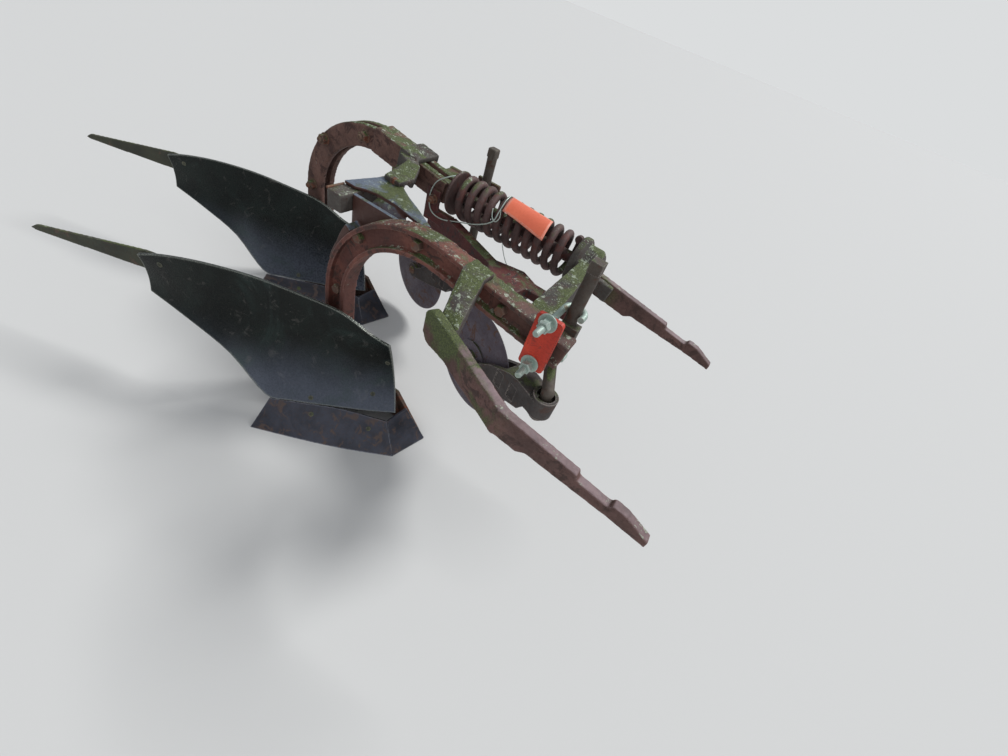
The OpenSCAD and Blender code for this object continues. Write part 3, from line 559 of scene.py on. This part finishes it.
def washer(work, place, axis, across, thick):
    r = across / 2
    rows = ((r - 0.6, -0.2), (r, 0.4), (r, thick - 0.6), (r - 0.8, thick))
    lathe(work, rows, place, axis, 28, smooth=True)


def thread(work, place, axis, across, start, end):
    r, rows, height = across / 2, [], start
    while height < end - 1.5:
        rows += [(r, height), (r * 0.88, height + 0.9)]
        height += 1.8
    lathe(work, rows + [(r * 0.8, end)], place, axis, 16)


def bolt(work, place, axis, across, turn, washer_across, tail):
    """A hexagon of a size across its flats, on a washer and with a thread beyond it if wanted."""
    lift = 0.0
    if washer_across:
        washer(work, place, axis, washer_across, WASHER_THICK)
        lift = WASHER_THICK
    top = place + axis.normalized() * lift * MM
    head = across * HEAD_SHARE
    hexagon(work, top, axis, across, head, turn)
    if tail:
        thread(work, top, axis, head, across * 0.5, head + tail)


TREES = {}


def on_surface(node, start, way):
    """Where a ray meets a node, and the surface's normal there, turned to face the ray."""
    if node not in TREES:
        mesh = frame["nodes"][node].data
        TREES[node] = BVHTree.FromPolygons([v.co for v in mesh.vertices],
                                           [tuple(f.vertices) for f in mesh.polygons])
    place, normal, _, _ = TREES[node].ray_cast(start, way)
    if place is None:
        return None
    return place, (normal if normal.dot(way) < 0 else -normal)


# Columns: node, place of the ray's start in the level frame, its way, width across flats, turn,
# washer's diameter, thread beyond the nut (mm, and radians for the turn)
FRAME_BOLTS = (
    ("front_beam", (-344, -60, 376), LEFT, 24, 0.2, 0, 0),
    ("front_beam", (-279, -60, 559), LEFT, 24, 0.5, 0, 0),
    ("front_beam", (-113, -60, 627), LEFT, 24, 0.1, 0, 0),
    ("front_beam", (117, -60, 599), LEFT, 24, 0.4, 0, 0),
    ("rear_beam", (-822, 250, 385), LEFT, 26, 0.2, 36, 8),
    ("rear_beam", (-764, 250, 555), LEFT, 26, 0.4, 36, 8),
    ("rear_beam", (-599, 250, 627), LEFT, 26, 0.7, 36, 8),
    ("hook_clamp", (-418, 250, 612), LEFT, 24, 0.3, 0, 10),
    ("diagonal_channel", (-312, 250, 575), LEFT, 20, 0.6, 28, 8),
    ("gusset_bracket", (-326, 150, 720), -UP, 22, 0.3, 0, 0),
    ("gusset_bracket", (-283, 60, 585), LEFT, 20, 0.4, 0, 6),
    ("front_beam", (-344, 60, 376), RIGHT, 24, 0.6, 30, 8),
    ("front_beam", (117, 60, 599), RIGHT, 24, 0.1, 30, 8),
    ("rear_beam", (-822, 460, 385), RIGHT, 26, 0.5, 0, 0),
    ("rear_beam", (-764, 460, 555), RIGHT, 26, 0.1, 0, 0),
    ("rear_beam", (-599, 460, 627), RIGHT, 26, 0.3, 0, 0),
    ("left_prong", (240, 400, 595), RIGHT, 24, 0.3, 0, 0),
)


def make_frame_bolts():
    work = bmesh.new()
    for node, start, way, across, turn, washer_across, tail in FRAME_BOLTS:
        found = on_surface(node, at(*start), way)
        if found:
            place, normal = found
            bolt(work, place - normal * SUNK_BOLT, normal, across, turn, washer_across, tail)
    finished("frame_bolts", work, "rust", "plough")


# Columns: kind of node, and how far ahead and up the bolt lies on the front bottom (mm)
PLOUGH_BOLTS = (
    ("moldboard", -285, 95), ("moldboard", -160, 130), ("moldboard", -150, 240),
    ("moldboard", -700, 330), ("share", -118, 52), ("share", -262, 58),
)
# Where the rays to them start, well to the right of each bottom
RAY_FROM = -600


def make_plough_bolts():
    """Flat bolt heads on moldboards and shares, each a little dished."""
    work = bmesh.new()
    for kind, x, z in PLOUGH_BOLTS:
        for end, step in (("front", Vector((0, 0, 0))), ("rear", REAR_STEP)):
            found = on_surface(f"{end}_{kind}", at(x, RAY_FROM, z) + step, LEFT)
            if found:
                place, normal = found
                lathe(work, DISHED_HEAD, place, normal, 24, smooth=True)
    finished("plough_bolts", work, "tail", "plough")


# The front hook bolts: how far ahead they lie, the heights of the lower and the upper one, and
# what each has on the plate's outside (mm)
HOOK_X, HOOK_Z = 225.5, (543, 651)
HOOK_WASHER = {"across": 40, "thick": 3.4}
HOOK_NUT_OUT, HOOK_NUT = 15, {"across": 24, "height": 10, "turn": 0.5}
HOOK_THREAD = {"across": 14.6, "start": 24, "end": 52}


def make_clamp_nuts():
    """Washers, nuts and thread ends of the hook bolts, on the front clamp's plate."""
    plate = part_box("front_clamp")[0].y
    work = bmesh.new()
    for z in HOOK_Z:
        place = at(HOOK_X, 0, z)
        place.y = plate - SUNK_WASHER
        washer(work, place, RIGHT, **HOOK_WASHER)
        hexagon(work, place + RIGHT * HOOK_NUT_OUT * MM, RIGHT, **HOOK_NUT)
        thread(work, place, RIGHT, **HOOK_THREAD)
    finished("clamp_nuts", work, "zinc", "plough")


# The lower ends of the shanks' spindles, in the level frame, and the nut on each (mm)
SPINDLE_ENDS = (("front", (284, -12, 403.8)), ("rear", (-203, 392, 264.8)))
COLLAR_NUT = {"across": 26, "height": 6, "turn": 0.3}


def make_collar_nuts():
    for end, place in SPINDLE_ENDS:
        work = bmesh.new()
        hexagon(work, at(*place), -UP, **COLLAR_NUT)
        finished(end + "_collar_nut", work, "rust", "plough")


# From a disc's middle to the outer face of its yoke's arms (mm)
HALF_YOKE = 30


def make_hub_caps():
    for end in ("front", "rear"):
        spin = next(j for j in frame["joints"] if j["name"] == end + "_disc_spin")
        centre, axis = Vector(spin["pos_m"]), Vector(spin["axis"]).normalized()
        work = bmesh.new()
        for way in (axis, -axis):
            lathe(work, HUB_CAP, centre + way * HALF_YOKE * MM, way, 28, smooth=True)
        finished(end + "_hub_caps", work, "rust", end + "_coulter_disc")


# Wire, tag and weld beads

# The tie wire round the beam's end and the spring, its twist round one coil, and its loose end,
# each with its radius, its sides and the places that it goes through, in the level frame (mm)
WIRES = (
    (1.6, 10, ((-268, 345, 653), (-281, 318, 650), (-314, 306, 622), (-326, 303, 575),
               (-310, 300, 541), (-270, 298, 536), (-215, 293, 556), (-150, 288, 582),
               (-106, 287, 612), (-100, 300, 640), (-102, 326, 664), (-104, 350, 670))),
    (1.4, 8, ((-120, 300, 640), (-112, 292, 622), (-98, 288, 616), (-90, 292, 630),
              (-98, 303, 645))),
    (1.1, 8, ((-60, 290, 570), (-46, 287, 548), (-28, 284, 528), (-6, 284, 512), (22, 280, 506),
              (44, 276, 512))),
)
STEPS_TO_A_KNOT = 8


def smooth_path(knots, steps):
    """Points on a smooth curve through the knots."""
    out = []
    for i in range(len(knots) - 1):
        a, b = knots[max(i - 1, 0)], knots[i]
        c, d = knots[i + 1], knots[min(i + 2, len(knots) - 1)]
        for k in range(steps):
            t = k / steps
            bend = t * (2 * a - 5 * b + 4 * c - d + t * (3 * (b - c) + d - a))
            out.append(b + 0.5 * t * (c - a + bend))
    return out + [knots[-1]]


def make_wire():
    work = bmesh.new()
    for radius, sides, knots in WIRES:
        path = smooth_path([at(*knot) for knot in knots], STEPS_TO_A_KNOT)
        tube(work, path, radius * MM, sides)
    finished("tie_wire", work, "zinc", "plough")


# The tag's corners in the level frame (mm): each edge from its rear end to its front end
TAG_LEFT, TAG_RIGHT = ((-96, 352, 671), (38, 338, 671)), ((-88, 292, 647), (46, 281, 641))
TAG_ALONG, TAG_ACROSS = 18, 12
TAG_CROWN_MM, TAG_CURL_MM = 8, 3.5
TAG_THICK = 1.2 * MM


def make_tag():
    """A blank tag of stiff sheet that lies on the spring, a little bent."""
    work = bmesh.new()
    left_rear, left_front = (at(*corner) for corner in TAG_LEFT)
    right_rear, right_front = (at(*corner) for corner in TAG_RIGHT)
    grid = []
    for i in range(TAG_ALONG + 1):
        u = i / TAG_ALONG
        row = []
        for k in range(TAG_ACROSS + 1):
            v = k / TAG_ACROSS
            left = left_rear * (1 - u) + left_front * u
            right = right_rear * (1 - u) + right_front * u
            crown = TAG_CROWN_MM * math.sin(math.pi * v)
            curl = TAG_CURL_MM * math.sin(3.3 * u + 1.1 * v) * v
            row.append(work.verts.new(left * (1 - v) + right * v + UP * (crown + curl) * MM))
        grid.append(row)
    for a, b in zip(grid, grid[1:]):
        for k in range(TAG_ACROSS):
            work.faces.new((a[k], a[k + 1], b[k + 1], b[k])).smooth = True
    piece = finished("blank_tag", work, "tag", "plough")
    thick = piece.modifiers.new("thick", "SOLIDIFY")
    thick.thickness = TAG_THICK
    thick.offset = 0


# Columns: start and end of a bead in the level frame, its radius (mm)
WELDS = (
    ((-384, 42, 630.5), (-384, -8, 630.5), 3.0),
    ((-292, 314.5, 548.5), (-240, 314.5, 548.5), 3.0),
    ((-338, 40, 600), (-338, 40, 622), 3.2),
)
RIPPLE_APART, RIPPLE_HEIGHT, RIPPLES_PER_M = 1.1 * MM, 0.7 * MM, 900


def make_welds():
    """Weld beads with an uneven surface."""
    work = bmesh.new()
    for first, last, radius in WELDS:
        start, end = at(*first), at(*last)
        count = max(6, round((end - start).length / RIPPLE_APART))
        points = [start + (end - start) * i / count for i in range(count + 1)]
        tube(work, points, radius * MM, 10)
    for vert in work.verts:
        vert.co += UP * RIPPLE_HEIGHT * noise.noise(vert.co * RIPPLES_PER_M)
    finished("weld_beads", work, "rust", "plough")


# Stage

FLOOR_HALF = 120
FLOOR_COLOUR, FLOOR_ROUGHNESS = (0.55, 0.55, 0.54, 1), 0.9
SKY_LIGHT, SKY_STRENGTH = (0.9, 0.94, 1.0, 1), 0.5
# What the camera sees past the floor, in the lit floor's own tone
SKY_SEEN = (0.708, 0.723, 0.730, 1)
# Columns: name, the way it comes from, strength, softness as an angle
SUNS = (("key", (0.35, 0.75, 1.0), 2.6, 0.30), ("fill", (0.9, -0.9, 0.9), 0.6, 1.2))


def make_floor():
    height = CAD_BOX[0][2]
    corners = [(x * FLOOR_HALF, y * FLOOR_HALF, height)
               for x, y in ((-1, -1), (1, -1), (1, 1), (-1, 1))]
    mesh = bpy.data.meshes.new("floor")
    mesh.from_pydata(corners, [], [(0, 1, 2, 3)])
    floor = bpy.data.objects.new("floor", mesh)
    bpy.context.scene.collection.objects.link(floor)
    material = bpy.data.materials.new("floor")
    material.use_nodes = True
    surface = material.node_tree.nodes["Principled BSDF"]
    surface.inputs["Base Color"].default_value = FLOOR_COLOUR
    surface.inputs["Roughness"].default_value = FLOOR_ROUGHNESS
    mesh.materials.append(material)


def make_sky():
    world = bpy.data.worlds.new("studio")
    world.use_nodes = True
    tree = world.node_tree
    light = tree.nodes["Background"]
    light.inputs["Color"].default_value = SKY_LIGHT
    light.inputs["Strength"].default_value = SKY_STRENGTH
    seen = tree.nodes.new("ShaderNodeBackground")
    seen.inputs["Color"].default_value = SKY_SEEN
    rays = tree.nodes.new("ShaderNodeLightPath")
    choice = tree.nodes.new("ShaderNodeMixShader")
    tree.links.new(rays.outputs["Is Camera Ray"], choice.inputs[0])
    tree.links.new(light.outputs[0], choice.inputs[1])
    tree.links.new(seen.outputs[0], choice.inputs[2])
    tree.links.new(choice.outputs[0], tree.nodes["World Output"].inputs[0])
    bpy.context.scene.world = world


def make_suns():
    for name, way, strength, softness in SUNS:
        sun = bpy.data.lights.new(name, "SUN")
        sun.energy = strength
        sun.angle = softness
        holder = bpy.data.objects.new(name, sun)
        holder.rotation_euler = Vector(way).to_track_quat("Z", "Y").to_euler()
        bpy.context.scene.collection.objects.link(holder)


bpy.context.scene.view_settings.view_transform = "Standard"
make_camera()
make_floor()
make_sky()
make_suns()
paint_nodes()
for row in ROUGH:
    dress_rough(*row)
for row in MACHINED:
    dress_machined(*row)
dress_front_clamp()
make_spring()
make_frame_bolts()
make_plough_bolts()
make_clamp_nuts()
make_collar_nuts()
make_hub_caps()
make_wire()
make_tag()
make_welds()
